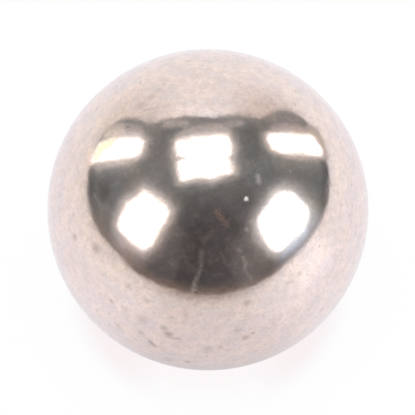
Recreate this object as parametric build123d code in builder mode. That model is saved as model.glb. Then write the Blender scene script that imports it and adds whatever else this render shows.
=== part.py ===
from build123d import *

import os

# Steel ball for small bench and desk use: one solid sphere of hardened steel, headed from wire,
# ground and lapped all over, with no flat, hole or seam left on it.
# The frame's origin is the ball's centre, with +Z up. Lengths are in millimetres.

# Driving dimension
BALL_DIAMETER = 20.0

# The profile that is turned: a half disc whose straight side lies on the Z axis
ball_radius = BALL_DIAMETER / 2
south_pole = (0, -ball_radius)
equator = (ball_radius, 0)
north_pole = (0, ball_radius)

# Ball: the half disc turned once about Z, which leaves one unbroken spherical face
with BuildPart() as ball:
    with BuildSketch(Plane.XZ):
        with BuildLine():
            ThreePointArc(south_pole, equator, north_pole)
            Line(north_pole, south_pole)
        make_face()
    revolve(axis=Axis.Z)

ball.part.label = "ball"

os.makedirs("parts", exist_ok=True)
export_step(ball.part, "parts/ball.step")

print("ball", "diameter", BALL_DIAMETER, "volume", round(ball.part.volume, 3))
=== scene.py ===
"""Looks of a polished steel ball that lies on a white paper sweep, under five softboxes in a dim room."""

import logging
import math
import random
from dataclasses import dataclass, field
from enum import Enum

import bmesh
import bpy
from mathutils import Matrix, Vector


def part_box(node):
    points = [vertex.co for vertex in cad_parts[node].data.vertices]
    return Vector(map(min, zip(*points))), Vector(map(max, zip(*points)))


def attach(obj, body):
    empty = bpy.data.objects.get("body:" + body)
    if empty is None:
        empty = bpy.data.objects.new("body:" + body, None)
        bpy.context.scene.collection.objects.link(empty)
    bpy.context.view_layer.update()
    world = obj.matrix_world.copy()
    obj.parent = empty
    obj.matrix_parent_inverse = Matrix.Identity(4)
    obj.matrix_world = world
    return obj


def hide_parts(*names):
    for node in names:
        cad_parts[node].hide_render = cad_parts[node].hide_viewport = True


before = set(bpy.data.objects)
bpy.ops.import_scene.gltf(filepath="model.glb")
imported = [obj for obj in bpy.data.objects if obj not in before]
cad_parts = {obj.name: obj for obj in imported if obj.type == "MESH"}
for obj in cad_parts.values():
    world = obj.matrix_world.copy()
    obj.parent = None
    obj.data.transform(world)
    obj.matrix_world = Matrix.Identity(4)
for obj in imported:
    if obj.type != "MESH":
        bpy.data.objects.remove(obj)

LOG = logging.getLogger("steel_ball")
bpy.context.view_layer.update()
BALL_NODE = "ball"
BALL_BODY = "root"
STEEL_SLOT = "polished_steel"

Colour = tuple[float, float, float]
Pixel = tuple[float, float]
Socket = bpy.types.NodeSocket

PLAIN_WHITE: Colour = (1.0, 1.0, 1.0)
NOISE_MIDDLE = (0.5, 0.5, 0.5)
BALL_FOOT = (0.0, 0.0, -1.0)


def add_to_scene(name: str, data: bpy.types.ID) -> bpy.types.Object:
    """Makes an object and links it into the scene.

    Args:
        name: the object's name.
        data: its mesh, lamp or camera.

    Returns:
        The object.
    """
    made = bpy.data.objects.new(name, data)
    bpy.context.scene.collection.objects.link(made)
    return made


class Sum(Enum):
    """The sums that a node of numbers can do."""

    ADD = "ADD"
    SUBTRACT = "SUBTRACT"
    MULTIPLY = "MULTIPLY"
    GREATER = "MAXIMUM"
    LESSER = "MINIMUM"
    SIZE = "ABSOLUTE"
    BEARING = "ARCTAN2"


class VectorSum(Enum):
    """The sums that a node of vectors can do."""

    ADD = "ADD"
    SUBTRACT = "SUBTRACT"
    MULTIPLY = "MULTIPLY"
    DOT = "DOT_PRODUCT"
    GAP = "DISTANCE"


class Ramp(Enum):
    """How a range of numbers is carried over to another."""

    STRAIGHT = "LINEAR"
    SMOOTH = "SMOOTHSTEP"


class Graph:
    """Adds nodes to one node tree and joins them, a call for each node."""

    def __init__(self, tree: bpy.types.NodeTree) -> None:
        """Empties the tree, so that what is in it is what the calls add."""
        self.tree = tree
        tree.nodes.clear()

    def add(self, kind: str, **settings: object) -> bpy.types.Node:
        """Adds a node.

        Args:
            kind: Blender's name for the node.
            settings: the node's own properties, by name.

        Returns:
            The new node.
        """
        node = self.tree.nodes.new(kind)
        for name, value in settings.items():
            setattr(node, name, value)
        return node

    def feed(self, socket: Socket, value: object) -> None:
        """Links a socket to another one, or sets its own value.

        Args:
            socket: the input that takes the value.
            value: an output socket, a number or a tuple of numbers.
        """
        if isinstance(value, Socket):
            self.tree.links.new(value, socket)
        else:
            socket.default_value = value

    def number(self, how: Sum, first: object, second: object = 0.0) -> Socket:
        """Joins two numbers.

        Args:
            how: the sum to do.
            first: an output socket or a number.
            second: an output socket or a number.

        Returns:
            The result's socket.
        """
        node = self.add("ShaderNodeMath", operation=how.value)
        self.feed(node.inputs[0], first)
        self.feed(node.inputs[1], second)
        return node.outputs[0]

    def carry(self, value: object, low: float, high: float, start: float = 0.0, end: float = 1.0,
              ramp: Ramp = Ramp.SMOOTH) -> Socket:
        """Carries a number from one range over to another, and stops at its ends.

        Args:
            value: an output socket or a number.
            low: where the range begins.
            high: where the range ends.
            start: what low becomes.
            end: what high becomes.
            ramp: straight, or eased at both ends.

        Returns:
            The result's socket.
        """
        node = self.add("ShaderNodeMapRange", interpolation_type=ramp.value)
        for name, given in (("Value", value), ("From Min", low), ("From Max", high),
                            ("To Min", start), ("To Max", end)):
            self.feed(node.inputs[name], given)
        return node.outputs["Result"]

    def vector(self, how: VectorSum, first: object, second: object) -> Socket:
        """Joins two vectors.

        Args:
            how: the sum to do.
            first: an output socket or a vector.
            second: an output socket or a vector.

        Returns:
            The result's socket, a number for a dot product or a gap.
        """
        node = self.add("ShaderNodeVectorMath", operation=how.value)
        self.feed(node.inputs[0], first)
        self.feed(node.inputs[1], second)
        return node.outputs["Value" if how in (VectorSum.DOT, VectorSum.GAP) else "Vector"]

    def stretch(self, vector: object, factor: object) -> Socket:
        """Stretches a vector.

        Args:
            vector: an output socket or a vector.
            factor: an output socket or a number.

        Returns:
            The socket of the vector times the number.
        """
        node = self.add("ShaderNodeVectorMath", operation="SCALE")
        self.feed(node.inputs[0], vector)
        self.feed(node.inputs["Scale"], factor)
        return node.outputs["Vector"]

    def line_gap(self, place: object, start: Vector, end: Vector) -> Socket:
        """How far a place lies from a straight line.

        Args:
            place: the socket of the place.
            start: where the line begins.
            end: where the line ends.

        Returns:
            The distance's socket.
        """
        line = end - start
        from_start = self.vector(VectorSum.SUBTRACT, place, start)
        share = self.carry(self.vector(VectorSum.DOT, from_start, line / line.length_squared), 0.0, 1.0,
                           ramp=Ramp.STRAIGHT)
        return self.vector(VectorSum.GAP, from_start, self.stretch(line, share))

    def blend(self, share: object, first: object, second: object) -> Socket:
        """Mixes two colours.

        Args:
            share: how much of the second colour, an output socket or a number.
            first: an output socket or a colour.
            second: an output socket or a colour.

        Returns:
            The mixed colour's socket.
        """
        node = self.add("ShaderNodeMix", data_type="RGBA")
        colour_in = [socket for socket in node.inputs if socket.type == "RGBA"]
        self.feed(node.inputs["Factor"], share)
        for socket, given in zip(colour_in, (first, second)):
            self.feed(socket, given if isinstance(given, Socket) else (*given, 1.0))
        return next(socket for socket in node.outputs if socket.type == "RGBA")

    def noise(self, place: object, scale: float, detail: float, roughness: float = 0.5) -> bpy.types.Node:
        """Smooth noise about one half.

        Args:
            place: the socket of the place that it is taken at.
            scale: how many waves lie in a unit of length.
            detail: how many finer layers are added.
            roughness: how strong the finer layers are.

        Returns:
            The noise node: its first output is a number and its second one a colour.
        """
        node = self.add("ShaderNodeTexNoise")
        self.feed(node.inputs["Vector"], place)
        self.feed(node.inputs["Scale"], scale)
        self.feed(node.inputs["Detail"], detail)
        self.feed(node.inputs["Roughness"], roughness)
        return node

    def cells(self, place: object, scale: float) -> tuple[Socket, Socket]:
        """Strews points through space.

        Args:
            place: the socket of the place that is asked about.
            scale: how many points lie along a unit of length.

        Returns:
            The distance to the nearest point, in shares of the points' spacing, and that point's own random
            number.
        """
        node = self.add("ShaderNodeTexVoronoi")
        self.feed(node.inputs["Vector"], place)
        self.feed(node.inputs["Scale"], scale)
        parts = self.add("ShaderNodeSeparateXYZ")
        self.feed(parts.inputs[0], node.outputs["Color"])
        return node.outputs["Distance"], parts.outputs[0]


@dataclass(frozen=True)
class PhotoFrame:
    """The photograph's square frame and the ball's outline in it, in pixels."""

    side: float = 415.0
    ball_centre: Pixel = (207.9, 209.7)
    ball_radius: float = 160.6


@dataclass
class StudioCamera:
    """The camera, above and in front of the ball, with the ball framed as in the photograph."""

    ball_radius: float
    photo: PhotoFrame = field(default_factory=PhotoFrame)
    elevation: float = 61.2
    lens: float = 200.0
    sensor: float = 36.0
    nearest: float = 0.01
    farthest: float = 20.0

    @property
    def focal_pixels(self) -> float:
        """Focal length in pixels of the photograph's frame."""
        return self.lens / self.sensor * self.photo.side

    @property
    def axes(self) -> tuple[Vector, Vector, Vector]:
        """The camera's directions.

        Returns:
            Unit vectors to the right, up and backward.
        """
        rise = math.radians(self.elevation)
        right = Vector((1.0, 0.0, 0.0))
        back = Vector((0.0, -math.cos(rise), math.sin(rise)))
        return right, back.cross(right), back

    @property
    def place(self) -> Vector:
        """Where the camera stands, so that the ball's outline has its place and size in the frame.

        Returns:
            The place, in metres from the ball's centre.
        """
        right, up, back = self.axes
        rim_slope = self.photo.ball_radius / self.focal_pixels
        distance = self.ball_radius * math.sqrt(1.0 + 1.0 / rim_slope ** 2)
        pixel = distance / self.focal_pixels
        off_right = self.photo.ball_centre[0] - self.photo.side / 2
        off_down = self.photo.ball_centre[1] - self.photo.side / 2
        return back * distance - right * (off_right * pixel) + up * (off_down * pixel)

    def seen_at(self, pixel: Pixel) -> Vector:
        """The spot of the ball's surface that a pixel of the photograph shows.

        Args:
            pixel: right and down from the frame's top left corner.

        Returns:
            The unit vector from the ball's centre to that spot.
        """
        right, up, back = self.axes
        across = (pixel[0] - self.photo.side / 2) / self.focal_pixels
        down = (pixel[1] - self.photo.side / 2) / self.focal_pixels
        ray = (right * across - up * down - back).normalized()
        along = -ray.dot(self.place)
        miss = self.place.length_squared - along ** 2
        depth = along - math.sqrt(max(self.ball_radius ** 2 - miss, 0.0))
        return (self.place + ray * depth).normalized()

    def mirrored_at(self, pixel: Pixel) -> tuple[Vector, Vector]:
        """The ray along which the ball mirrors its surroundings at a pixel of the photograph.

        Args:
            pixel: right and down from the frame's top left corner.

        Returns:
            The spot of the surface in metres, and the unit vector of the mirrored ray.
        """
        outward = self.seen_at(pixel)
        spot = outward * self.ball_radius
        ray = (spot - self.place).normalized()
        return spot, ray - outward * (2.0 * ray.dot(outward))

    def build(self) -> bpy.types.Object:
        """Makes the camera and hands it to the scene.

        Returns:
            The camera object.
        """
        data = bpy.data.cameras.new("studio_camera")
        data.lens = self.lens
        data.sensor_width = self.sensor
        data.clip_start = self.nearest
        data.clip_end = self.farthest
        camera = add_to_scene("studio_camera", data)
        camera.location = self.place
        camera.rotation_euler = self.axes[2].to_track_quat("Z", "Y").to_euler()
        bpy.context.scene.camera = camera
        return camera


@dataclass(frozen=True)
class WhitePaper:
    """Matt white paper that photographs as plain white and still takes a soft shadow.

    Its mirror image has painted shade, dimmer on the left, straight ahead, far ahead, at the top right
    corner and on the right of the wall, and painted light, brighter on the right and in front on the right;
    it is bluer close to the ball. The foot, flank and under tints are the ball's soft shade, painted. Fades
    are in ball radii, spreads in radians from straight ahead.
    """

    colour: Colour = (0.915, 0.914, 0.925)
    # The tints below paint shade and light into the paper's colour.
    left_shade_colour: Colour = (0.81, 0.778, 0.752)
    left_fade: tuple[float, float] = (6.0, -24.0)
    left_lean: float = 0.3
    right_light_tint: Colour = (1.022, 1.027, 1.035)
    right_fade: tuple[float, float] = (0.0, 10.0)
    ahead_shade_tint: Colour = (0.848, 0.832, 0.822)
    far_shade_tint: Colour = (0.575, 0.535, 0.51)
    ahead_spread: tuple[float, float] = (0.80, 0.25)
    far_fade: tuple[float, float] = (5.0, 24.0)
    near_spread: float = 0.70
    near_spread_fade: tuple[float, float] = (1.2, 3.5)
    bright_light_tint: Colour = (1.19, 1.19, 1.20)
    bright_bearing: float = 1.10
    bright_spread: tuple[float, float] = (0.36, 0.06)
    bright_fade: tuple[float, float] = (2.5, 4.5)
    wall_shade_tint: Colour = (0.765, 0.705, 0.665)
    wall_fade: tuple[float, float] = (0.0, 36.0)
    wall_rise: tuple[float, float] = (-9.0, 24.0)
    corner_shade_tint: Colour = (0.80, 0.79, 0.78)
    corner_place: tuple[float, float, float] = (26.0, 49.0, 47.0)
    corner_fade: tuple[float, float] = (16.0, 2.0)
    near_tint: Colour = (0.997, 1.003, 1.052)
    near_fade: tuple[float, float] = (8.5, 1.5)
    foot_tint: Colour = (0.995, 0.955, 0.962)
    foot_fade: tuple[float, float] = (0.92, 0.66)
    flank_tint: Colour = (0.968, 0.918, 0.928)
    flank_fade: tuple[float, float] = (0.97, 0.80)
    flank_start: tuple[float, float] = (0.25, 0.60)
    under_tint: Colour = (0.72, 0.68, 0.685)
    under_fade: tuple[float, float] = (0.60, 0.10)
    camera_share: float = 0.955
    mirror_share: float = 0.7

    def material(self, ball_radius: float) -> bpy.types.Material:
        """Makes the paper's material.

        Args:
            ball_radius: the ball's radius in metres, which the fades are counted in.

        Returns:
            The material: matt paper, mixed with even white for the camera and for mirrors.
        """
        made = bpy.data.materials.new("white_paper")
        made.use_nodes = True
        graph = Graph(made.node_tree)
        spot = graph.stretch(graph.add("ShaderNodeTexCoord").outputs["Object"], 1.0 / ball_radius)
        tone = self.mirror_tone(graph, spot)
        path = graph.add("ShaderNodeLightPath")
        mirrored = graph.number(Sum.GREATER, path.outputs["Is Glossy Ray"],
                                path.outputs["Is Transmission Ray"])
        to_camera = graph.number(Sum.MULTIPLY, path.outputs["Is Camera Ray"], self.camera_share)
        to_mirror = graph.number(Sum.MULTIPLY, mirrored, self.mirror_share)
        even_share = graph.number(Sum.GREATER, to_camera, to_mirror)
        matt = graph.add("ShaderNodeBsdfDiffuse")
        graph.feed(matt.inputs["Color"], graph.blend(mirrored, self.colour, tone))
        even = graph.add("ShaderNodeEmission")
        graph.feed(even.inputs["Color"], graph.blend(mirrored, self.seen_tone(graph, spot), tone))
        mix = graph.add("ShaderNodeMixShader")
        graph.feed(mix.inputs[0], even_share)
        graph.feed(mix.inputs[1], matt.outputs[0])
        graph.feed(mix.inputs[2], even.outputs[0])
        graph.feed(graph.add("ShaderNodeOutputMaterial").inputs["Surface"], mix.outputs[0])
        return made

    def mirror_tone(self, graph: Graph, spot: Socket) -> Socket:
        """The paper's colour as the ball mirrors it, with painted shade and painted light.

        Args:
            graph: the node tree that the nodes go into.
            spot: the socket of the place on the paper, in ball radii from the ball's centre.

        Returns:
            The colour's socket.
        """
        parts = graph.add("ShaderNodeSeparateXYZ")
        graph.feed(parts.inputs[0], spot)
        forward = graph.number(Sum.MULTIPLY, parts.outputs["Y"], -1.0)
        bearing = graph.number(Sum.BEARING, parts.outputs["X"], forward)
        foot_gap = graph.vector(VectorSum.GAP, spot, BALL_FOOT)
        widening = graph.carry(foot_gap, *self.near_spread_fade, self.near_spread, 1.0)
        off_ahead = graph.number(Sum.MULTIPLY, graph.number(Sum.SIZE, bearing), widening)
        off_bright = graph.number(Sum.SIZE, graph.number(Sum.SUBTRACT, bearing, self.bright_bearing))
        bright = graph.number(Sum.MULTIPLY, graph.carry(off_bright, *self.bright_spread),
                              graph.carry(foot_gap, *self.bright_fade))
        wall = graph.number(Sum.MULTIPLY, graph.carry(parts.outputs["X"], *self.wall_fade),
                            graph.carry(parts.outputs["Z"], *self.wall_rise))
        leaning = graph.number(Sum.ADD, parts.outputs["X"],
                               graph.number(Sum.MULTIPLY, parts.outputs["Y"], self.left_lean))
        ahead_shade_tint = graph.blend(graph.carry(forward, *self.far_fade), self.ahead_shade_tint, self.far_shade_tint)
        corner_gap = graph.vector(VectorSum.GAP, spot, self.corner_place)
        # Painted shade: dimmer on the left, ahead, far ahead, at the top right corner and on the right of
        # the wall. Painted light: brighter on the right and in front on the right. The near tint makes it
        # bluer close to the ball.
        tone = graph.blend(graph.carry(leaning, *self.left_fade), self.colour, self.left_shade_colour)
        for share, tint in ((graph.carry(parts.outputs["X"], *self.right_fade), self.right_light_tint),
                            (graph.carry(off_ahead, *self.ahead_spread), ahead_shade_tint),
                            (graph.carry(corner_gap, *self.corner_fade), self.corner_shade_tint),
                            (wall, self.wall_shade_tint),
                            (bright, self.bright_light_tint),
                            (graph.carry(foot_gap, *self.near_fade), self.near_tint)):
            tone = graph.vector(VectorSum.MULTIPLY, tone, graph.blend(share, PLAIN_WHITE, tint))
        return tone

    def seen_tone(self, graph: Graph, spot: Socket) -> Socket:
        """The paper's colour as the camera sees it: white, with the ball's soft shade round its foot.

        Args:
            graph: the node tree that the nodes go into.
            spot: the socket of the place on the paper, in ball radii from the ball's centre.

        Returns:
            The colour's socket.
        """
        parts = graph.add("ShaderNodeSeparateXYZ")
        graph.feed(parts.inputs[0], spot)
        foot_gap = graph.vector(VectorSum.GAP, spot, BALL_FOOT)
        under = graph.carry(foot_gap, *self.under_fade)
        beside = graph.carry(graph.number(Sum.SIZE, parts.outputs["X"]), *self.flank_start)
        flank = graph.number(Sum.MULTIPLY, graph.carry(foot_gap, *self.flank_fade),
                             graph.number(Sum.GREATER, beside, under))
        seen = graph.blend(graph.carry(foot_gap, *self.foot_fade), PLAIN_WHITE, self.foot_tint)
        for share, tint in ((flank, self.flank_tint), (under, self.under_tint)):
            seen = graph.vector(VectorSum.MULTIPLY, seen, graph.blend(share, PLAIN_WHITE, tint))
        return seen


@dataclass
class Sweep:
    """The paper that the ball lies on: flat in front, then curved up behind. Sizes are in ball radii."""

    ball_radius: float
    finish: WhitePaper = field(default_factory=WhitePaper)
    left_edge: float = -44.6
    right_edge: float = 39.2
    front_edge: float = -52.0
    bend_start: float = 27.0
    bend_radius: float = 22.0
    top_height: float = 59.7
    top_flat: float = 3.5
    right_slope: float = 0.45
    left_slope: float = 0.30
    right_taper: float = 2.1
    right_curl: float = 2.6
    right_rise: float = 0.40
    left_curl: float = 2.75
    left_rise: float = 0.35
    left_tilt: float = 0.075
    left_tilt_start: float = -10.0
    front_rise: float = 1.3
    curl_width: float = 18.0
    curl_start: float = 1.0
    front_steps: int = 16
    bend_steps: int = 24
    columns: int = 40

    def profile(self) -> list[tuple[float, float]]:
        """The paper's side view from its front edge to its top edge.

        Returns:
            The points, as (y, z) in ball radii from the ball's centre.
        """
        floor = BALL_FOOT[2]
        bend_centre = floor + self.bend_radius
        flat = self.bend_start - self.front_edge
        points = []
        for step in range(self.front_steps):
            points.append((self.front_edge + flat * step / self.front_steps, floor))
        for step in range(self.bend_steps + 1):
            turn = math.pi / 2 * step / self.bend_steps
            points.append((self.bend_start + self.bend_radius * math.sin(turn),
                           bend_centre - self.bend_radius * math.cos(turn)))
        points.append((self.bend_start + self.bend_radius, self.top_height))
        return points

    def lift(self, side: float, along: float, height: float) -> float:
        """How far a spot of the paper lies above the plain profile.

        Args:
            side: the spot's place across the paper.
            along: its place from front to back.
            height: its height in the profile.

        Returns:
            The lift, from the slopes of the top edge or from the curl of the side and front edges.
        """
        if height >= self.top_height:
            slope = self.right_slope if side > 0.0 else self.left_slope
            return -slope * max(abs(side) - self.top_flat, 0.0)
        forward = min(max((self.curl_start - along) / (self.curl_start - self.front_edge), 0.0), 1.0)
        to_right = max(side - self.right_edge + self.curl_width, 0.0) / self.curl_width
        to_left = max(self.left_edge + self.curl_width - side, 0.0) / self.curl_width
        wave = math.sin(math.pi * forward)
        left_tilt = self.left_tilt * max(along, self.left_tilt_start)
        left_rise = self.left_curl * wave ** 2 + self.left_rise + left_tilt
        right_rise = self.right_curl * wave + self.right_rise
        return right_rise * to_right ** 2 + left_rise * to_left ** 2 + self.front_rise * forward ** 3

    def build(self) -> bpy.types.Object:
        """Makes the paper as one smooth sheet.

        Returns:
            The sheet.
        """
        mesh = bpy.data.meshes.new("paper_sweep")
        shell = bmesh.new()
        rows = []
        for along, height in self.profile():
            row = []
            taper = self.right_taper * min(max(height / self.bend_radius, 0.0), 1.0)
            right_edge = self.right_edge - taper
            for column in range(self.columns + 1):
                side = self.left_edge + (right_edge - self.left_edge) * column / self.columns
                spot = Vector((side, along, height + self.lift(side, along, height)))
                row.append(shell.verts.new(spot * self.ball_radius))
            rows.append(row)
        for lower, upper in zip(rows, rows[1:]):
            for column in range(self.columns):
                face = shell.faces.new((lower[column], lower[column + 1], upper[column + 1], upper[column]))
                face.smooth = True
        shell.to_mesh(mesh)
        shell.free()
        mesh.materials.append(self.finish.material(self.ball_radius))
        sheet = add_to_scene("paper_sweep", mesh)
        return sheet


@dataclass(frozen=True)
class LampCloth:
    """The lit white cloth of a softbox, dimmer and tinted at its hem. A sheer one only adds light."""

    tint: Colour = (1.0, 0.99, 0.97)
    hem_tint: Colour = (1.0, 0.98, 0.95)
    strength: float = 2.2
    hem_light: float = 0.35
    sheer: bool = False

    @classmethod
    def glow(cls, tint: Colour, strength: float) -> "LampCloth":
        """A sheer glow of one tint that fades to nothing at its hem."""
        return cls(tint, tint, strength, 0.0, True)

    @classmethod
    def even(cls, tint: Colour, strength: float, hem_light: float) -> "LampCloth":
        """A cloth of one tint, whose hem has a share of the light."""
        return cls(tint, tint, strength, hem_light)

    def material(self, name: str, layer: str) -> bpy.types.Material:
        """Makes the cloth's material.

        Args:
            name: the softbox's name.
            layer: the mesh layer that is 1 where the cloth is fully lit and 0 at its hem.

        Returns:
            The glowing material.
        """
        made = bpy.data.materials.new(name + "_cloth")
        made.use_nodes = True
        graph = Graph(made.node_tree)
        lit = graph.add("ShaderNodeAttribute", attribute_name=layer).outputs["Fac"]
        glow = graph.add("ShaderNodeEmission")
        graph.feed(glow.inputs["Color"], graph.blend(lit, self.hem_tint, self.tint))
        graph.feed(glow.inputs["Strength"],
                   graph.carry(lit, 0.0, 1.0, self.strength * self.hem_light, self.strength))
        surface = glow.outputs[0]
        if self.sheer:
            both = graph.add("ShaderNodeAddShader")
            graph.feed(both.inputs[0], surface)
            graph.feed(both.inputs[1], graph.add("ShaderNodeBsdfTransparent").outputs[0])
            surface = both.outputs[0]
        graph.feed(graph.add("ShaderNodeOutputMaterial").inputs["Surface"], surface)
        return made


@dataclass
class Softbox:
    """A softbox's cloth, or a glow, flap or flag beside one: a flat sheet with a hem.

    It is placed by the pixels where the ball mirrors its corners. The hem and the halo are in pixels, the
    reach from the ball in metres.
    """

    name: str
    corners: tuple[Pixel, ...]
    finish: LampCloth = field(default_factory=LampCloth)
    hem: float = 4.5
    reach: float = 0.70
    drawn_in: float = 0.0
    halo_width: float = 11.0
    halo_finish: LampCloth = LampCloth.glow((1.0, 0.97, 0.95), 0.26)
    lit_layer: str = "lit"
    least_arm: float = 0.05

    def moved_out(self, width: float) -> tuple[Pixel, ...]:
        """The corners moved away from their middle.

        Args:
            width: how far, in pixels; below zero moves them towards the middle, and not past it.

        Returns:
            The moved corners.
        """
        count = len(self.corners)
        middle = Vector((sum(right for right, _ in self.corners) / count,
                         sum(down for _, down in self.corners) / count))
        moved = []
        for corner in self.corners:
            arm = Vector(corner) - middle
            moved.append(tuple(middle + arm * max(1.0 + width / arm.length, self.least_arm)))
        return tuple(moved)

    def halo(self, nearer: float) -> "Softbox":
        """A sheer glow round the cloth, which fades away over the halo's width.

        Args:
            nearer: how far it hangs in front of the cloth, in metres.

        Returns:
            The glow.
        """
        corners = self.moved_out(self.halo_width)
        return Softbox(self.name + "_halo", corners, self.halo_finish, self.halo_width, self.reach - nearer)

    def build(self, camera: StudioCamera) -> bpy.types.Object:
        """Makes the cloth.

        Args:
            camera: the camera that sees the cloth mirrored in the ball.

        Returns:
            The cloth, hidden from the camera itself.
        """
        mesh = bpy.data.meshes.new(self.name)
        shell = bmesh.new()
        lit = shell.verts.layers.float.new(self.lit_layer)
        outline = self.moved_out(-self.drawn_in) + self.moved_out(-self.drawn_in - self.hem)
        rays = [camera.mirrored_at(corner) for corner in outline]
        facing = sum((ray for _, ray in rays), Vector()).normalized()
        spots = [shell.verts.new(spot + ray * ((self.reach - spot.dot(facing)) / ray.dot(facing)))
                 for spot, ray in rays]
        count = len(self.corners)
        hem, inner = spots[:count], spots[count:]
        for corner in inner:
            corner[lit] = 1.0
        shell.faces.new(inner)
        for near in range(count):
            far = (near + 1) % count
            shell.faces.new((hem[near], hem[far], inner[far], inner[near]))
        shell.to_mesh(mesh)
        shell.free()
        mesh.materials.append(self.finish.material(self.name, self.lit_layer))
        cloth = add_to_scene(self.name, mesh)
        cloth.visible_camera = False
        return cloth


@dataclass
class FillLamp:
    """A broad lamp over the paper that the ball doesn't mirror. Sizes are in metres, the power in watts."""

    power: float = 4.3
    side: float = 0.6
    height: float = 0.7
    behind: float = 0.1

    def build(self) -> bpy.types.Object:
        """Makes the lamp, which looks straight down.

        Returns:
            The lamp.
        """
        data = bpy.data.lights.new("fill_lamp", type="AREA")
        data.energy = self.power
        data.size = self.side
        lamp = add_to_scene("fill_lamp", data)
        lamp.location = (0.0, self.behind, self.height)
        lamp.visible_glossy = False
        return lamp


@dataclass(frozen=True)
class DimRoom:
    """The room round the paper: dim walls, darkest in front.

    It is plain white where the camera itself looks past the paper.
    """

    side_tone: Colour = (0.161, 0.182, 0.188)
    front_tone: Colour = (0.075, 0.0735, 0.0775)
    front_fade: tuple[float, float] = (0.03, -0.85)
    bench_tone: Colour = (0.11, 0.08, 0.063)
    bench_fade: tuple[float, float] = (0.13, 0.05)
    bench_front: tuple[float, float] = (0.2, -0.3)
    horizon_light: float = 0.55
    horizon_reach: float = 0.16
    mottle: float = 0.15
    mottle_scale: float = 3.0
    mottle_detail: float = 2.0
    mottle_range: tuple[float, float] = (0.3, 0.7)

    def build(self) -> bpy.types.World:
        """Makes the world and hands it to the scene.

        Returns:
            The world.
        """
        world = bpy.data.worlds.new("dim_room")
        world.use_nodes = True
        graph = Graph(world.node_tree)
        bearing = graph.add("ShaderNodeTexCoord").outputs["Generated"]
        parts = graph.add("ShaderNodeSeparateXYZ")
        graph.feed(parts.inputs[0], bearing)
        frontness = graph.carry(parts.outputs["Y"], *self.front_fade)
        walls = graph.blend(frontness, self.side_tone, self.front_tone)
        bench = graph.number(Sum.MULTIPLY, graph.carry(parts.outputs["Z"], *self.bench_fade),
                             graph.carry(parts.outputs["Y"], *self.bench_front))
        noise = graph.noise(bearing, self.mottle_scale, self.mottle_detail).outputs[0]
        patches = graph.carry(noise, *self.mottle_range, 1.0 - self.mottle, 1.0 + self.mottle)
        low = graph.carry(graph.number(Sum.SIZE, parts.outputs["Z"]), 0.0, self.horizon_reach,
                          self.horizon_light, 1.0)
        path = graph.add("ShaderNodeLightPath")
        room = graph.add("ShaderNodeBackground")
        walls = graph.stretch(walls, graph.number(Sum.MULTIPLY, patches, low))
        bench_glow = graph.stretch(self.bench_tone, bench)
        graph.feed(room.inputs["Color"], graph.vector(VectorSum.ADD, walls, bench_glow))
        white = graph.add("ShaderNodeBackground")
        graph.feed(white.inputs["Color"], (*PLAIN_WHITE, 1.0))
        mix = graph.add("ShaderNodeMixShader")
        graph.feed(mix.inputs[0], path.outputs["Is Camera Ray"])
        graph.feed(mix.inputs[1], room.outputs[0])
        graph.feed(mix.inputs[2], white.outputs[0])
        graph.feed(graph.add("ShaderNodeOutputWorld").inputs["Surface"], mix.outputs[0])
        bpy.context.scene.world = world
        return world


@dataclass(frozen=True)
class Trace:
    """A spot or a bent line on the ball's surface, by unit vectors; its width is in ball radii."""

    places: tuple[Vector, ...]
    half_width: float
    strength: float

    def mask(self, graph: Graph, place: Socket) -> Socket:
        """Its strength on the trace, fading to nothing beside it.

        Args:
            graph: the node tree that the nodes go into.
            place: the socket of the place on the unit ball.

        Returns:
            The mask's socket.
        """
        if len(self.places) == 1:
            gap = graph.vector(VectorSum.GAP, place, self.places[0])
        else:
            gaps = [graph.line_gap(place, start, end) for start, end in zip(self.places, self.places[1:])]
            gap = gaps[0]
            for other in gaps[1:]:
                gap = graph.number(Sum.LESSER, gap, other)
        return graph.carry(gap, 2.0 * self.half_width, 0.0, 0.0, self.strength)


@dataclass(frozen=True)
class Mark:
    """A mark that the photograph shows on the steel, by pixels: a spot, or a line through several."""

    path: tuple[Pixel, ...]
    half_width: float
    strength: float = 1.0

    @classmethod
    def spot(cls, right: float, down: float, half_width: float, strength: float) -> "Mark":
        """A mark that is one round spot."""
        return cls(((right, down),), half_width, strength)

    def on_ball(self, camera: StudioCamera) -> Trace:
        """The mark's place on the ball, as the camera sees it."""
        places = tuple(camera.seen_at(pixel) for pixel in self.path)
        return Trace(places, self.half_width / camera.photo.ball_radius, self.strength)


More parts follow.
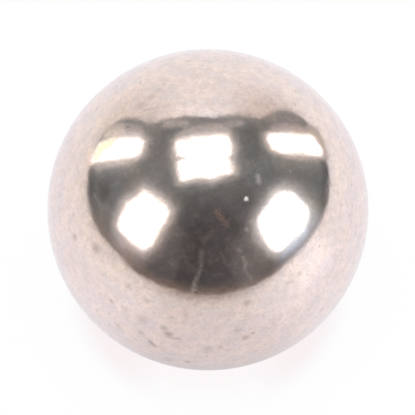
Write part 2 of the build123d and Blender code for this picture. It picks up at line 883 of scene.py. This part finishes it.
@dataclass(frozen=True)
class SteelWear:
    """The marks on the ball, those that the photograph shows and stray scratches all over: pits and
    scratches of handling, a reddish streak, and pale specks that are painted glints.
    """

    pits: tuple[Mark, ...] = (
        Mark.spot(96.0, 248.0, 4.6, 0.88),
        Mark.spot(75.0, 237.0, 2.9, 0.62),
        Mark.spot(111.0, 300.7, 2.6, 0.57),
        Mark.spot(128.4, 286.1, 3.2, 0.53),
        Mark.spot(146.0, 299.9, 2.9, 0.44),
        Mark.spot(125.3, 309.0, 3.2, 0.31),
        Mark.spot(118.0, 326.0, 2.6, 0.40),
        Mark.spot(141.4, 319.0, 5.2, 0.44),
        Mark.spot(141.4, 332.8, 2.6, 0.57),
        Mark.spot(163.6, 328.2, 3.3, 0.70),
        Mark.spot(168.5, 334.3, 3.8, 0.88),
        Mark.spot(171.2, 318.3, 3.8, 0.26),
        Mark.spot(168.1, 359.6, 4.1, 0.53),
        Mark.spot(188.0, 361.9, 3.5, 0.79),
        Mark.spot(207.9, 348.9, 4.9, 0.53),
        Mark.spot(220.2, 347.3, 2.5, 0.53),
        Mark.spot(227.0, 350.0, 2.6, 0.31),
        Mark.spot(245.5, 337.8, 2.9, 0.70),
        Mark.spot(238.6, 329.6, 3.5, 0.35),
        Mark.spot(246.4, 303.0, 3.3, 0.66),
        Mark.spot(298.9, 274.0, 2.5, 0.40),
        Mark.spot(322.0, 309.0, 2.9, 0.48),
        Mark.spot(226.6, 217.1, 2.6, 0.44),
        Mark.spot(152.0, 97.0, 3.2, 0.40),
        Mark.spot(159.0, 90.0, 3.2, 0.40),
        Mark.spot(140.0, 106.0, 3.2, 0.40),
        Mark.spot(188.0, 61.0, 2.9, 0.35),
        Mark(((149.8, 341.2), (155.1, 346.6)), 2.0, 0.81),
        Mark(((166.6, 336.6), (172.5, 338.0), (178.9, 338.9)), 2.1, 0.54),
        Mark(((287.5, 282.8), (292.5, 281.6)), 1.6, 0.45),
        Mark(((144.0, 111.0), (158.0, 107.0)), 1.3, 0.32),
        Mark(((186.5, 307.0), (186.5, 318.0)), 2.9, 0.23),
    )
    scratches: tuple[Mark, ...] = (
        Mark(((201.6, 252.0), (201.2, 266.0), (198.0, 275.2), (194.9, 282.3), (193.4, 291.0)), 2.4, 0.49),
        Mark(((220.4, 252.0), (223.4, 257.0), (224.0, 263.0)), 1.5, 0.32),
        Mark(((237.4, 249.4), (240.0, 251.0)), 2.2, 0.50),
        Mark(((243.4, 257.0), (245.4, 263.0), (244.9, 269.6)), 2.0, 0.54),
        Mark(((245.6, 270.6), (251.0, 279.0)), 1.8, 0.38),
        Mark(((283.4, 304.6), (299.8, 308.9)), 1.0, 0.40),
    )
    # Pale spots in place of glints: painted highlights.
    painted_glints: tuple[Mark, ...] = (
        Mark.spot(246.3, 198.8, 1.7, 1.00),
        Mark(((258.0, 176.4), (258.4, 181.4)), 2.3, 0.22),
        Mark.spot(246.7, 229.6, 2.0, 0.20),
        Mark.spot(250.7, 221.6, 1.5, 0.15),
        Mark.spot(290.4, 171.2, 1.5, 0.15),
    )
    # A reddish-brown streak: the colour turns reddish, and the steel is duller and rougher there.
    red_streak: tuple[Mark, ...] = (
        Mark(((217.0, 211.5), (221.5, 217.5), (225.5, 224.0)), 2.9, 0.60),
    )
    stray_count: int = 10
    stray_seed: int = 7
    stray_length: tuple[float, float] = (0.10, 0.32)
    stray_bend: float = 0.25
    stray_half_width: float = 0.0045
    stray_strength: tuple[float, float] = (0.15, 0.40)

    def stray_scratches(self) -> list[Trace]:
        """Short scratches in every direction, strewn over the whole ball.

        Returns:
            The scratches, the same ones on every run.
        """
        dice = random.Random(self.stray_seed)
        strewn = []
        for _ in range(self.stray_count):
            middle = Vector([dice.gauss(0.0, 1.0) for _ in range(3)]).normalized()
            along = middle.cross(Vector([dice.gauss(0.0, 1.0) for _ in range(3)])).normalized()
            half = along * (dice.uniform(*self.stray_length) / 2)
            bend = middle.cross(half) * dice.uniform(-self.stray_bend, self.stray_bend)
            places = tuple(spot.normalized() for spot in (middle - half, middle + bend, middle + half))
            strewn.append(Trace(places, self.stray_half_width, dice.uniform(*self.stray_strength)))
        return strewn

    def traces(self, camera: StudioCamera) -> list[list[Trace]]:
        """The marks' places on the ball.

        Args:
            camera: the camera that sees the marks where the photograph shows them.

        Returns:
            The pits, the scratches with the stray ones, the painted glints and the reddish streak.
        """
        groups = (self.pits, self.scratches, self.painted_glints, self.red_streak)
        pits, scratches, painted_glints, red_streak = ([mark.on_ball(camera) for mark in group] for group in groups)
        return [pits, scratches + self.stray_scratches(), painted_glints, red_streak]


@dataclass(frozen=True)
class Speckle:
    """A layer of smooth noise on the ball. Its scale is in waves for each ball radius."""

    scale: float
    detail: float
    roughness: float = 0.5
    reach: tuple[float, float] = (0.35, 0.75)

    def share(self, graph: Graph, place: Socket, most: float = 1.0) -> Socket:
        """The layer as a number from 0 upwards.

        Args:
            graph: the node tree that the nodes go into.
            place: the socket of the place on the unit ball.
            most: what the noise becomes where it is strongest.

        Returns:
            The number's socket.
        """
        noise = graph.noise(place, self.scale, self.detail, self.roughness).outputs[0]
        return graph.carry(noise, *self.reach, 0.0, most)


@dataclass(frozen=True)
class PolishedSteel:
    """Lapped steel that has been handled: a soft mirror with grain, grey splotches, pits, scratches, a
    reddish streak and pale spots that are painted glints.
    """

    wear: SteelWear = field(default_factory=SteelWear)
    colour: Colour = (0.968, 0.8165, 0.743)
    grey_colour: Colour = (0.893, 0.7785, 0.7465)
    grain_colour: Colour = (0.66, 0.54, 0.49)
    pit_colour: Colour = (0.46, 0.37, 0.32)
    red_streak_colour: Colour = (0.42, 0.18, 0.12)
    painted_glint_colour: Colour = (0.90, 0.88, 0.84)
    mottle_share: float = 0.35
    grain_share: float = 0.35
    pit_share: float = 0.8
    dust_share: float = 0.045
    red_streak_share: float = 0.12
    scratch_share: float = 0.06
    roughness: float = 0.13
    roughness_spread: float = 0.04
    scuffed_roughness: float = 0.45
    splotches: Speckle = Speckle(8.0, 2.0, reach=(0.35, 0.65))
    mottle: Speckle = Speckle(20.0, 3.0, 0.6)
    grain: Speckle = Speckle(55.0, 2.0, 0.6)
    dust: Speckle = Speckle(22.0, 3.0, 0.6, (0.40, 0.75))
    stray_pit_scale: float = 15.0
    stray_pit_chance: float = 0.45
    stray_pit_size: float = 0.28
    stray_pit_softness: float = 0.20
    stray_pit_strength: float = 0.6
    ripple_scale: float = 9.0
    ripple_detail: float = 1.0
    ragged_scale: float = 45.0
    ragged_detail: float = 2.0
    raggedness: float = 0.016
    grain_height: float = 0.0000005
    ripple_height: float = 0.000008
    pit_depth: float = 0.000003

    def masks(self, graph: Graph, place: Socket, traces: list[Trace]) -> Socket:
        """Joins the masks of several traces.

        Args:
            graph: the node tree that the nodes go into.
            place: the socket of the place on the unit ball.
            traces: the traces, at least one.

        Returns:
            The socket of the strongest mask at that place.
        """
        strongest = traces[0].mask(graph, place)
        for trace in traces[1:]:
            strongest = graph.number(Sum.GREATER, strongest, trace.mask(graph, place))
        return strongest

    def stray_pits(self, graph: Graph, place: Socket) -> Socket:
        """Small pits strewn over the whole ball, most of them faint.

        Args:
            graph: the node tree that the nodes go into.
            place: the socket of the place on the unit ball.

        Returns:
            The pits' mask.
        """
        gap, chance = graph.cells(place, self.stray_pit_scale)
        size = graph.carry(chance, self.stray_pit_chance, 1.0, 0.0, self.stray_pit_size, Ramp.STRAIGHT)
        depth = graph.number(Sum.SUBTRACT, size, gap)
        return graph.carry(depth, 0.0, self.stray_pit_softness, 0.0, self.stray_pit_strength)

    def material(self, camera: StudioCamera) -> bpy.types.Material:
        """Makes the steel.

        Args:
            camera: the camera that sees the marks where the photograph shows them.

        Returns:
            The material.
        """
        made = bpy.data.materials.new(STEEL_SLOT)
        made.use_nodes = True
        graph = Graph(made.node_tree)
        spot = graph.stretch(graph.add("ShaderNodeTexCoord").outputs["Object"], 1.0 / camera.ball_radius)
        mottle = self.mottle.share(graph, spot)
        grain = self.grain.share(graph, spot)
        ripple = graph.noise(spot, self.ripple_scale, self.ripple_detail).outputs[0]
        stray = graph.noise(spot, self.ragged_scale, self.ragged_detail).outputs[1]
        wander = graph.vector(VectorSum.SUBTRACT, stray, NOISE_MIDDLE)
        ragged = graph.vector(VectorSum.ADD, spot, graph.stretch(wander, self.raggedness))
        pits, scratches, painted_glints, red_streak = (
            self.masks(graph, ragged, traces) for traces in self.wear.traces(camera))
        pits = graph.number(Sum.GREATER, self.stray_pits(graph, ragged), pits)

        steel = graph.add("ShaderNodeBsdfPrincipled")
        # Less metal where there is dust, scratches or the reddish streak, and none at the painted glints:
        # pale spots that stand in for highlights.
        film_and_glints = graph.number(Sum.GREATER, self.dust.share(graph, spot, self.dust_share), painted_glints)
        for marks, share in ((red_streak, self.red_streak_share), (scratches, self.scratch_share)):
            film_and_glints = graph.number(Sum.GREATER, film_and_glints, graph.number(Sum.MULTIPLY, marks, share))
        graph.feed(steel.inputs["Metallic"], graph.number(Sum.SUBTRACT, 1.0, film_and_glints))
        tone = graph.blend(self.splotches.share(graph, spot), self.colour, self.grey_colour)
        for layer, share, tint in ((mottle, self.mottle_share, self.grain_colour),
                                   (grain, self.grain_share, self.grain_colour),
                                   (pits, self.pit_share, self.pit_colour)):
            tone = graph.blend(graph.number(Sum.MULTIPLY, layer, share), tone, tint)
        tone = graph.blend(red_streak, tone, self.red_streak_colour)
        # Painted highlights: the glints turn the colour pale.
        graph.feed(steel.inputs["Base Color"], graph.blend(painted_glints, tone, self.painted_glint_colour))

        scuffs = graph.number(Sum.GREATER, scratches, red_streak)
        polish = graph.carry(mottle, 0.0, 1.0, self.roughness - self.roughness_spread / 2,
                             self.roughness + self.roughness_spread / 2)
        scuffing = graph.number(Sum.MULTIPLY, scuffs, self.scuffed_roughness - self.roughness)
        graph.feed(steel.inputs["Roughness"], graph.number(Sum.ADD, polish, scuffing))

        height = graph.number(Sum.MULTIPLY, ripple, self.ripple_height)
        for layer, rise in ((grain, self.grain_height), (pits, -self.pit_depth)):
            height = graph.number(Sum.ADD, height, graph.number(Sum.MULTIPLY, layer, rise))
        bump = graph.add("ShaderNodeBump")
        graph.feed(bump.inputs["Strength"], 1.0)
        graph.feed(bump.inputs["Distance"], 1.0)
        graph.feed(bump.inputs["Height"], height)
        graph.feed(steel.inputs["Normal"], bump.outputs[0])
        graph.feed(graph.add("ShaderNodeOutputMaterial").inputs["Surface"], steel.outputs[0])
        return made


@dataclass
class SteelBall:
    """The ball itself, a true sphere of even quads with one set of bake charts."""

    radius: float
    camera: StudioCamera
    finish: PolishedSteel = field(default_factory=PolishedSteel)
    cells: int = 96
    chart_columns: int = 3
    chart_rows: int = 2
    chart_margin: float = 0.01
    weld_grid: float = 1e6

    def sides(self) -> list[tuple[Vector, Vector, Vector]]:
        """The six sides of the cube that the sphere is blown up from, as outward, across and upward axes."""
        x, y, z = Vector((1, 0, 0)), Vector((0, 1, 0)), Vector((0, 0, 1))
        return [(x, y, z), (-x, -y, z), (y, -x, z), (-y, x, z), (z, x, y), (-z, x, -y)]

    def build_mesh(self) -> bpy.types.Mesh:
        """Makes the sphere from six square patches of equal-angle cells.

        Returns:
            The mesh, with exact normals and a map for baking.
        """
        mesh = bpy.data.meshes.new(BALL_NODE)
        shell = bmesh.new()
        uv = shell.loops.layers.uv.new("OFBake")
        welded: dict[tuple[int, int, int], bmesh.types.BMVert] = {}
        slopes = [math.tan(math.pi / 4 * (2.0 * step / self.cells - 1.0)) for step in range(self.cells + 1)]
        inner = 1.0 - 2.0 * self.chart_margin
        for index, (out, across, upward) in enumerate(self.sides()):
            column = index % self.chart_columns
            line = index // self.chart_columns
            grid = []
            for rise in range(self.cells + 1):
                row = []
                for run in range(self.cells + 1):
                    place = (out + across * slopes[run] + upward * slopes[rise]).normalized() * self.radius
                    key = tuple(round(value / self.radius * self.weld_grid) for value in place)
                    if key not in welded:
                        welded[key] = shell.verts.new(place)
                    row.append(welded[key])
                grid.append(row)
            for rise in range(self.cells):
                for run in range(self.cells):
                    steps = ((run, rise), (run + 1, rise), (run + 1, rise + 1), (run, rise + 1))
                    face = shell.faces.new([grid[j][i] for i, j in steps])
                    face.smooth = True
                    for loop, (i, j) in zip(face.loops, steps):
                        chart_u = column + self.chart_margin + inner * i / self.cells
                        chart_v = line + self.chart_margin + inner * j / self.cells
                        loop[uv].uv = (chart_u / self.chart_columns, chart_v / self.chart_rows)
        shell.to_mesh(mesh)
        shell.free()
        mesh.normals_split_custom_set_from_vertices([vertex.co.normalized() for vertex in mesh.vertices])
        return mesh

    def build(self) -> bpy.types.Object:
        """Makes the ball in place of its plain CAD node.

        Returns:
            The ball.
        """
        mesh = self.build_mesh()
        mesh.materials.append(self.finish.material(self.camera))
        ball = add_to_scene("polished_ball", mesh)
        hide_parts(BALL_NODE)
        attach(ball, BALL_BODY)
        return ball


@dataclass
class Studio:
    """Everything round the ball that lights it and shows in it."""

    camera: StudioCamera
    softboxes: tuple[Softbox, ...] = (
        Softbox("softbox_rear_left", (
            (89.6, 165.2), (90.8, 157), (94.2, 149.2), (97.6, 142.4), (107.6, 138.8), (120, 136.6),
            (128, 136.2), (141, 137.4), (146, 141.2), (143, 149), (141, 155.2), (134.6, 157.4),
            (120, 160), (107.4, 161),
        ), hem=3.0, drawn_in=0.8),
        Softbox("softbox_rear_right", (
            (266.2, 141.8), (265.8, 134), (279, 132.4), (288, 132.2), (302, 134.2), (312, 134),
            (316.6, 137), (320, 143.5), (324.4, 151), (324.2, 157.6), (310, 155), (297, 154.5),
            (284.4, 153.9), (270.2, 149.6),
        ), hem=3.0, drawn_in=0.8, halo_width=8.0, halo_finish=LampCloth.glow((1.0, 0.88, 0.79), 0.26)),
        Softbox("softbox_front_left", (
            (143, 188.3), (150.6, 191.6), (156, 196.7), (161.6, 199.6), (167.8, 204.8), (172.4, 211.5),
            (168.6, 219.4), (158.8, 235.2), (151, 249), (143, 251.8), (136, 248.2), (120.2, 233),
            (115.3, 226.2), (125.4, 201.5), (136.5, 195.2),
        ), drawn_in=1.2, halo_width=10.0),
        Softbox("softbox_front_right", (
            (284, 188.6), (293, 190.3), (304.6, 201.5), (310, 207), (311.1, 215), (309.6, 222.6),
            (303.2, 233.2), (288.4, 246.2), (282.4, 252), (275.2, 254.4), (267.8, 249.2), (259.8, 235.8),
            (255.7, 222), (257.7, 214.6), (266.6, 204.7), (269.6, 198.4), (275, 191.6),
        ), LampCloth((1.0, 0.99, 0.98), (0.88, 0.98, 1.04)), drawn_in=1.2, halo_width=9.0,
           halo_finish=LampCloth.glow((0.9, 0.98, 1.02), 0.26)),
        Softbox("softbox_overhead", (
            (174.6, 139.6), (186, 138.6), (192.4, 135.4), (211, 134.4), (229.4, 134.8), (233.4, 142.5),
            (234.6, 150.4), (232, 158), (234.2, 165.8), (235.4, 173.8), (222.8, 176.2), (211, 181.2),
            (204, 178.8), (192.5, 180), (179.8, 182.8), (177.2, 173.5), (175.3, 162), (173.8, 150),
        ), drawn_in=1.0, halo_width=9.0),
    )
    halo_gap: float = 0.03
    glows: tuple[Softbox, ...] = (
        Softbox("glow_front_left", (
            (144, 168), (168, 180), (190, 205), (180, 232), (164, 262), (143, 272), (116, 262),
            (106, 236), (110, 206), (122, 178),
        ), LampCloth.glow((1.0, 0.88, 0.82), 0.13), hem=22.0, reach=0.66),
        Softbox("glow_front_right", (
            (284, 166), (304, 172), (326, 198), (330, 220), (318, 244), (296, 268), (272, 274),
            (252, 262), (236, 224), (252, 190),
        ), LampCloth.glow((0.95, 0.97, 1.0), 0.14), hem=22.0, reach=0.66),
        Softbox("glow_low_left", (
            (112, 234), (126, 232), (146, 246), (156, 262), (142, 274), (122, 264), (110, 248),
        ), LampCloth.glow((1.0, 0.85, 0.85), 0.105), hem=12.0, reach=0.64),
        Softbox("glow_low_right", (
            (228, 238), (254, 222), (268, 252), (276, 268), (260, 288), (238, 294), (224, 268),
        ), LampCloth.glow((1.0, 1.0, 0.98), 0.085), hem=16.0, reach=0.64),
        Softbox("glow_mid_left", (
            (164, 222), (188, 224), (188, 258), (172, 286), (150, 284), (138, 268), (156, 254),
        ), LampCloth.glow((0.95, 1.0, 1.0), 0.04), hem=12.0, reach=0.63),
        Softbox("glow_left_low", (
            (82, 168), (110, 162), (142, 158), (143, 172), (128, 179), (98, 178), (84, 177),
        ), LampCloth.glow((1.0, 1.0, 0.98), 0.065), hem=8.0, reach=0.63),
        Softbox("glow_right_end", (
            (322, 204), (328, 222), (314, 246), (294, 266), (276, 268), (276, 250), (296, 236),
            (308, 214),
        ), LampCloth.glow((0.25, 0.62, 1.0), 0.1), hem=9.0, reach=0.64),
        Softbox("glow_rear_left", (
            (126, 124), (150, 120), (170, 124), (178, 150), (176, 184), (150, 192), (122, 186),
            (108, 168),
        ), LampCloth.glow((1.0, 0.86, 0.8), 0.042), hem=16.0, reach=0.62),
        Softbox("glow_rear_right", (
            (266, 150), (296, 152), (326, 156), (326, 172), (300, 176), (270, 170),
        ), LampCloth.glow((1.0, 1.0, 1.0), 0.07), hem=8.0, reach=0.62),
        Softbox("glow_top", (
            (106, 132), (110, 120), (150, 112), (210, 108), (265, 106), (302, 108), (326, 132),
            (302, 129), (265, 131), (210, 131), (150, 131),
        ), LampCloth.glow((1.0, 0.9, 0.88), 0.05), hem=5.0, reach=0.62),
        Softbox("fringe_front_right", (
            (309, 224), (310.5, 232), (303, 242), (291, 253), (279, 259), (288, 246), (298, 238),
            (304, 228),
        ), LampCloth.glow((0.44, 0.66, 1.0), 0.36), hem=3.0, reach=0.63),
        Softbox("fringe_low_right", (
            (249, 226), (257, 224), (264, 241), (263, 252), (252, 245),
        ), LampCloth.glow((1.0, 0.98, 0.98), 0.11), hem=4.0, reach=0.63),
        Softbox("fringe_low_left", (
            (107, 231), (117, 231), (127, 243), (131, 253), (120, 251), (109, 242),
        ), LampCloth.glow((1.0, 0.92, 1.0), 0.11), hem=4.0, reach=0.63),
        Softbox("glow_left_side", (
            (97, 208), (108, 203), (119, 212), (117, 232), (108, 241), (99, 232),
        ), LampCloth.glow((1.0, 0.8, 0.7), 0.05), hem=5.0, reach=0.63),
        Softbox("glow_below_overhead", (
            (193, 178), (214, 177), (221, 184), (213, 191), (197, 192), (187, 187),
        ), LampCloth.glow((0.85, 1.0, 0.95), 0.03), hem=6.0, reach=0.63),
        Softbox("glow_right_top", (
            (262, 114), (284, 109), (302, 114), (304, 124), (284, 122), (264, 123),
        ), LampCloth.glow((1.0, 0.78, 0.8), 0.085), hem=5.0, reach=0.63),
        Softbox("glow_left_rim", (
            (76, 157), (87, 148), (94, 147), (95, 160), (93, 170), (81, 172),
        ), LampCloth.glow((1.0, 0.68, 0.45), 0.18), hem=5.0, reach=0.21),
        Softbox("glow_right_rim", (
            (325.4, 139), (332, 140), (338, 150), (335, 164), (327, 165), (326, 150),
        ), LampCloth.glow((1.0, 0.95, 0.9), 0.1), hem=4.0, reach=0.21),
        Softbox("glow_yellow_end", (
            (95.6, 150), (99.6, 143.8), (108.6, 140.2), (117, 139), (113, 147), (103, 152), (98, 161.5),
            (92.8, 160),
        ), LampCloth((1.0, 0.96, 0.62), (1.0, 0.97, 0.82), 1.5, 1.0), hem=8.0, reach=0.66),
    )
    # Flaps, skirts and seams are no lamps: their glow is painted light. The flags glow dimmer than what lies
    # round them: painted shade.
    flaps: tuple[Softbox, ...] = (
        Softbox("flap_rear_left", (
            (102, 138), (105, 130), (112.5, 124), (124, 121.5), (128, 135), (113, 137),
        ), LampCloth.even((1.0, 0.95, 0.87), 0.62, 0.7), hem=1.5),
        Softbox("flap_rear_right_top", (
            (268, 131.5), (272, 125), (285, 122), (299, 124), (309.6, 128.6), (314, 133), (302, 132),
            (287, 130), (279, 130.2),
        ), LampCloth.even((1.0, 0.94, 0.96), 0.4, 0.8), hem=1.5),
        Softbox("flap_rear_left_end", (
            (124, 123.5), (136, 123.5), (141.5, 126), (143.5, 133), (143.5, 138), (128, 136),
        ), LampCloth.even((1.0, 1.0, 1.0), 0.4, 0.7), hem=1.5),
        Softbox("flap_overhead", (
            (175, 134), (190, 126.5), (203, 124.5), (222, 124), (231, 128), (231.5, 135.5), (212, 134.5),
            (192, 135.5), (186, 139), (176, 141),
        ), LampCloth.even((1.0, 0.99, 0.98), 0.48, 0.8), hem=1.5),
        Softbox("flap_rear_right", (
            (226, 120.5), (243, 120.5), (243, 126.5), (228, 128),
        ), LampCloth.even((1.0, 0.99, 0.98), 0.38, 0.8), hem=1.0),
        Softbox("flap_rear_middle", (
            (162, 121), (176, 119), (190, 121), (190, 127), (176, 129), (162, 128),
        ), LampCloth.glow((1.0, 0.93, 0.9), 0.3), hem=4.0, reach=0.64),
        Softbox("skirt_rear_left", (
            (94, 166), (108, 162.5), (130, 160), (140, 156.5), (141, 160), (130, 166), (110, 169),
            (95, 172),
        ), LampCloth.even((1.0, 1.0, 0.97), 0.41, 0.5), hem=2.5),
        Softbox("skirt_rear_right", (
            (272, 150), (285, 155), (297, 156), (311, 157.5), (321, 158), (320, 163), (300, 161),
            (284, 159), (272, 153),
        ), LampCloth.even((1.0, 1.0, 0.97), 0.32, 0.5), hem=2.0),
        Softbox("seam_left", (
            (175, 156), (194, 158.8), (175, 162.4),
        ), LampCloth.even((1.0, 0.95, 0.9), 0.45, 1.0), hem=0.3, reach=0.64),
        Softbox("seam_right_upper", (
            (235, 155.4), (219, 158.4), (235, 161.2),
        ), LampCloth.even((1.0, 0.95, 0.95), 0.45, 1.0), hem=0.3, reach=0.64),
        Softbox("seam_right_lower", (
            (236, 166.2), (220, 166.4), (236, 170),
        ), LampCloth.even((1.0, 0.97, 0.9), 0.6, 1.0), hem=0.3, reach=0.64),
        Softbox("flag_left", (
            (99, 182), (110, 181), (112, 191), (111, 201), (101, 202), (98, 192),
        ), LampCloth.even((0.95, 1.0, 1.0), 0.125, 1.2), hem=5.0, reach=0.66),
        Softbox("flag_right", (
            (308, 123), (318, 129), (323.4, 136.5), (327.4, 147.5), (328.5, 160), (327.4, 158),
            (323.2, 149.5), (315.6, 140.4), (312.6, 132.6), (306, 126),
        ), LampCloth.even((1.0, 0.93, 0.86), 0.5, 1.0), hem=1.0, reach=0.22),
    )

    def panels(self) -> list[Softbox]:
        """The softboxes with a halo round each, the glows between them and the flaps beside them, which glow
        with painted light.
        """
        halos = [softbox.halo(self.halo_gap) for softbox in self.softboxes]
        return [*self.softboxes, *halos, *self.glows, *self.flaps]

    def build(self) -> None:
        """Makes the paper, the room, the fill lamp and the lit panels."""
        sheet = Sweep(self.camera.ball_radius).build()
        LOG.info("stage: %s", sheet.name)
        DimRoom().build()
        LOG.info("stage: %s", FillLamp().build().name)
        for panel in self.panels():
            LOG.info("stage: %s", panel.build(self.camera).name)


def main() -> None:
    """Builds the ball, its studio and its camera."""
    logging.basicConfig(level=logging.INFO, format="%(name)s %(message)s")
    bpy.context.scene.view_settings.view_transform = "Standard"
    low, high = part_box(BALL_NODE)
    radius = (high.z - low.z) / 2
    camera = StudioCamera(radius)
    ball = SteelBall(radius, camera).build()
    LOG.info("piece: %s, %d faces", ball.name, len(ball.data.polygons))
    Studio(camera).build()
    camera.build()


if __name__ == "__main__":
    main()
